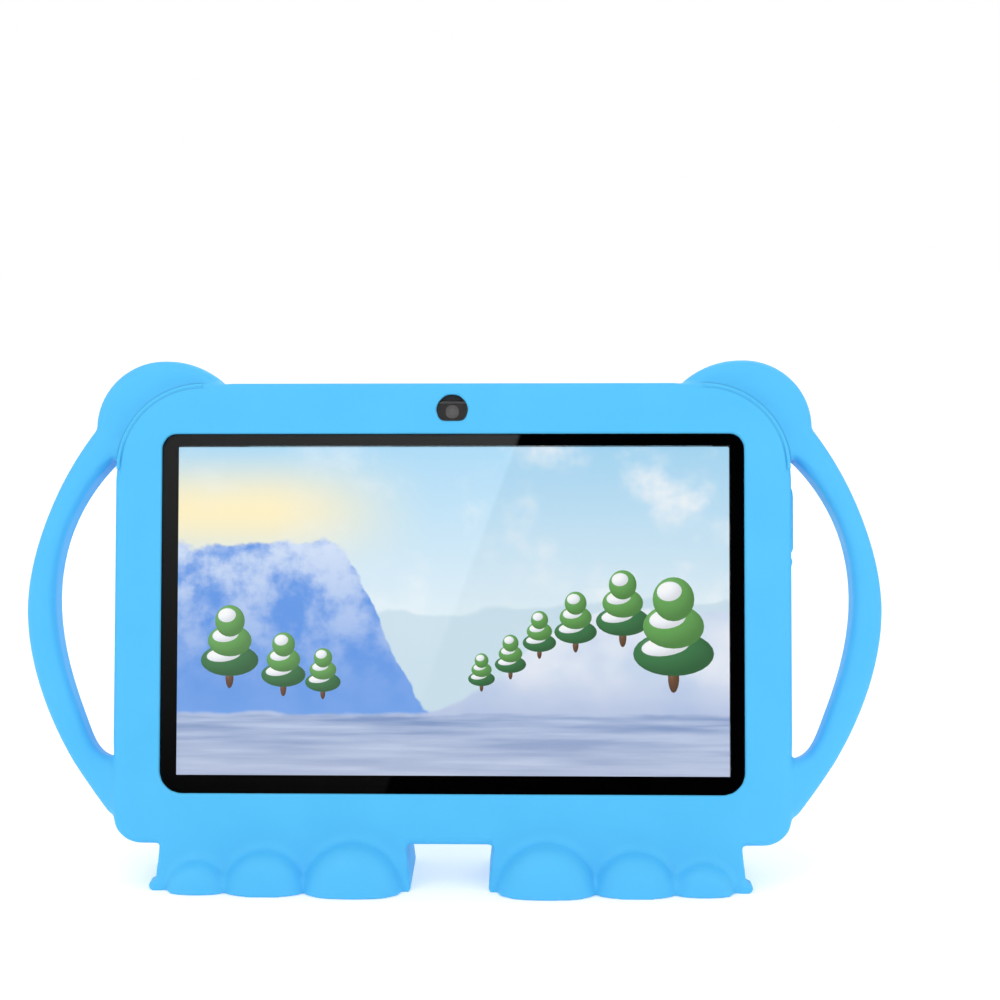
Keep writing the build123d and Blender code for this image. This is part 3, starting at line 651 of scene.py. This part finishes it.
def fir_paint():
    """Lit paint for the firs on the picture, from the colour kept in each point."""
    paint = Paint("screen_firs", (0, 0, 0, 1), roughness=0.4)
    tint = paint.node("Attribute", {"attribute_name": "Tint"}).outputs["Color"]
    paint.feed(tint, paint.surface.inputs["Emission Color"])
    paint.feed(1.0, paint.surface.inputs["Emission Strength"])
    return paint.material


LIGHT = Vector((-0.42, -0.72, 0.55)).normalized()
LAYER_PITCH = 0.0026
layer_count = 0
balls = {}


def shade(obj, colour, glow):
    """Keeps a colour in each point of a round shape, lit from the upper left."""
    tint = obj.data.attributes.new("Tint", "FLOAT_COLOR", "POINT")
    for vertex, entry in zip(obj.data.vertices, tint.data):
        light = max(0.0, vertex.normal.dot(LIGHT))
        level = glow + (1.12 - glow) * light
        spark = 0.25 * max(0.0, light - 0.86) / 0.14
        entry.color = [min(1.0, part * level + spark * 0.5) for part in colour[:3]] + [1.0]


def flatten(obj, x, z, wide, high, turn):
    """Sizes a shape, presses it flat on its own layer of the screen and puts it in its place."""
    global layer_count
    layer_count += 1
    depth = LCD_FRONT - 0.03 - LAYER_PITCH * layer_count
    place = Matrix.Translation(Vector((PICTURE_X + x, depth, PICTURE_Z + z)) * MM)
    size = Matrix.Diagonal((wide * MM, 0.4 * LAYER_PITCH * MM, high * MM, 1))
    obj.data.transform(place @ Matrix.Rotation(-math.radians(turn), 4, "Y") @ size)
    return obj


def ball(segments):
    """The sphere that the rounded forms are copied from, modelled once for each fineness."""
    if segments not in balls:
        deselect()
        bpy.ops.mesh.primitive_uv_sphere_add(segments=segments, ring_count=segments // 2, radius=1)
        bpy.ops.object.shade_smooth()
        balls[segments] = bpy.context.object
    return balls[segments]


def blob(x, z, wide, high, colour, turn=0, glow=0.55, segments=28):
    """A rounded form: a copy of the sphere, lit, sized and pressed flat."""
    source = ball(segments)
    obj = source.copy()
    obj.data = source.data.copy()
    bpy.context.scene.collection.objects.link(obj)
    shade(obj, colour, glow)
    return flatten(obj, x, z, wide, high, turn)


SNOW, BARK = srgb(244, 248, 254), srgb(112, 78, 52)
PINE, DEEP_PINE = srgb(104, 168, 88), srgb(62, 124, 74)
FIRS = (
    (8.0, -19.0, 6.0), (16.0, -15.0, 7.0), (24.0, -9.0, 7.5), (34.0, -6.0, 9.5),
    (-36.0, -20.0, 8.0), (-47.0, -18.0, 10.0), (47.0, -3.0, 12.0), (-62.0, -14.0, 13.0),
    (61.0, -12.0, 18.0),
)


def pine(x, z, size):
    """A snowy fir of three drooping tiers on a short trunk."""
    parts = [blob(x, z - 0.36 * size, 0.09 * size, 0.24 * size, BARK, 0, 0.6, 14)]
    for tier in range(3):
        wide = size * (0.62 - 0.15 * tier)
        foot = z + 0.42 * size * tier
        green = DEEP_PINE if tier == 0 else PINE
        parts.append(blob(x, foot, wide, 0.34 * size, green, 0, 0.6, 24))
        parts.append(blob(
            x - 0.2 * wide, foot + 0.12 * size, 0.6 * wide, 0.15 * size, SNOW, 8, 0.8, 20
        ))
    return parts


def snowy_firs():
    """Plain firs on the snow, the far ones first."""
    parts = []
    for x, z, size in FIRS:
        parts += pine(x, z, size)
    for source in balls.values():
        bpy.data.objects.remove(source, do_unlink=True)
    return join("screen_firs", *parts)


def screen_picture():
    """The lit picture: a painted sheet with firs on it."""
    deselect()
    bpy.ops.mesh.primitive_plane_add(size=MM, rotation=(math.pi / 2, 0, 0))
    sheet = bpy.context.object
    sheet.name = "screen_scene"
    sheet.scale = (PICTURE_W, PICTURE_H, 1)
    sheet.location = (PICTURE_X * MM, (LCD_FRONT - 0.03) * MM, PICTURE_Z * MM)
    lean_back(sheet)
    finish_piece(sheet, "tablet", winter_paint())
    firs = snowy_firs()
    lean_back(firs)
    smooth(firs, 180)
    finish_piece(firs, "tablet", fir_paint())


# ---------------------------------------------------------------- details
def rear_ribs(material):
    """Five light ribs on the cover between the rear camera and the flash."""
    parts = []
    for row in range(5):
        z = REAR_Z + (row - 2) * RIB_PITCH
        obj = box(
            "rib", RIB_LEFT, RIB_RIGHT, COVER_BACK - 0.02, COVER_BACK + 0.12, z - RIB_HALF, z + RIB_HALF
        )
        round_edges(obj, lambda edge: True, 0.06, 2)
        parts.append(obj)
    obj = join("rear_ribs", *parts)
    lean_back(obj)
    smooth(obj, 40)
    finish_piece(obj, "tablet", material)


def usb_contacts(material):
    """The gold fingers on the charging socket's tongue."""
    parts = []
    for row in range(5):
        x = USB_X + (row - 2) * FINGER_PITCH
        obj = box(
            "finger", x - FINGER_HALF, x + FINGER_HALF, USB_Y - 0.4, USB_Y - 0.34, 56.2, 59.4
        )
        round_edges(obj, lambda edge: along(edge, 2), 0.02, 2)
        parts.append(obj)
    obj = join("usb_contacts", *parts)
    lean_back(obj)
    finish_piece(obj, "tablet", material)


# ---------------------------------------------------------------- floor, light, camera
def studio_light():
    """A white studio: light from all round, with a dark front wall that has a slanted window in it."""
    world = bpy.data.worlds.new("Studio")
    bpy.context.scene.world = world
    world.use_nodes = True
    paint = Wiring(world.node_tree)
    across, depth, up = paint.node(
        "SeparateXYZ", Vector=paint.node("TexCoord").outputs["Generated"]
    ).outputs
    edge = paint.sum("MULTIPLY_ADD", up, WINDOW_SLOPE, WINDOW_EDGE)
    window = paint.spread(paint.sum("SUBTRACT", edge, across), -0.001, 0.001)
    rise = paint.sum("POWER", paint.spread(up, 0.14, 0.335), 1.35)
    glare = paint.sum("MULTIPLY", rise, paint.spread(across, -0.17, 0.0, 0.62, 1.0))
    front = paint.sum("MULTIPLY_ADD", glare, window, 0.004)
    wall = paint.sum("MULTIPLY", paint.spread(paint.sum("ABSOLUTE", across), 0.26, 0.34, 1.0, 0.0),
                     paint.spread(up, 0.42, 0.52, 1.0, 0.0))
    wall = paint.sum("MULTIPLY", wall, paint.spread(up, -0.02, 0.04))
    wall = paint.sum("MULTIPLY", wall, paint.sum("LESS_THAN", depth, 0.0))
    level = paint.sum("ADD", paint.sum("MULTIPLY", wall, front),
                      paint.sum("MULTIPLY", paint.sum("SUBTRACT", 1.0, wall), AMBIENT))
    seen = paint.node("LightPath").outputs["Is Camera Ray"]
    backdrop = world.node_tree.nodes["Background"]
    backdrop.inputs["Color"].default_value = (1, 1, 1, 1)
    strength = paint.sum("ADD", paint.sum("MULTIPLY", paint.sum("SUBTRACT", 1.0, seen), level), seen)
    paint.feed(strength, backdrop.inputs["Strength"])


def studio():
    """Pale floor, soft light from the front and above, and the camera."""
    scene = bpy.context.scene
    scene.view_settings.view_transform = "Standard"
    studio_light()
    deselect()
    bpy.ops.mesh.primitive_plane_add(size=30, location=(0, 0, 0))
    floor = bpy.context.object
    floor.name = "studio_floor"
    paint = Paint("studio_floor", roughness=0.9, specular_ior_level=0.0)
    paint.place = paint.node("TexCoord").outputs["Object"]
    paint.colour((0.80, 0.80, 0.80, 1), (0.82, 0.82, 0.82, 1), 3.0)
    paint.surface.inputs["Emission Color"].default_value = (1, 1, 1, 1)
    paint.surface.inputs["Emission Strength"].default_value = 0.32
    floor.data.materials.append(paint.material)
    for name, place, size, power in (
        ("key_light", (-0.55, -0.9, 1.25), 0.9, 5.0),
        ("fill_light", (0.9, -0.9, 0.8), 0.9, 2.5),
        ("back_light", (0.3, 1.2, 1.1), 1.0, 4.0),
    ):
        data = bpy.data.lights.new(name, "AREA")
        data.energy, data.size = power, size
        lamp = bpy.data.objects.new(name, data)
        scene.collection.objects.link(lamp)
        lamp.location = place
        aim = Vector((0, 0, 0.07)) - Vector(place)
        lamp.rotation_euler = aim.to_track_quat("-Z", "Y").to_euler()
    data = bpy.data.cameras.new("camera")
    data.lens, data.sensor_width = VIEW_LENS, 36.0
    data.shift_x, data.shift_y = VIEW_SHIFT
    camera = bpy.data.objects.new("camera", data)
    scene.collection.objects.link(camera)
    rise, side = math.radians(VIEW_RISE), math.radians(VIEW_SIDE)
    target = STAND @ Vector((0, 0, 0))
    away = Vector((
        math.sin(side) * math.cos(rise), -math.cos(side) * math.cos(rise), math.sin(rise)
    ))
    camera.location = target + away * VIEW_DISTANCE
    look = (target - camera.location).to_track_quat("-Z", "Y").to_matrix()
    camera.rotation_euler = (look @ Matrix.Rotation(-math.radians(VIEW_ROLL), 3, "Z")).to_euler()
    scene.camera = camera


# ---------------------------------------------------------------- everything
finishes = make_materials()
silicone_case(finishes["silicone"])
ear_beads(finishes["silicone"])
ink_border()
front_camera = camera_lens(
    "front_lens", CAMERA_X, CAMERA_Z, GLASS_BACK + 0.08, -1, 0.8, 3.2, finishes["lens_glass"]
)
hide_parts("front_camera")
camera_lens("rear_lens", REAR_X, REAR_Z, COVER_BACK - 0.85, 1, 1.05, 0.34, finishes["lens_glass"])
screen_picture()
rear_ribs(finishes["tin_plate"])
usb_contacts(finishes["tin_plate"])
studio()
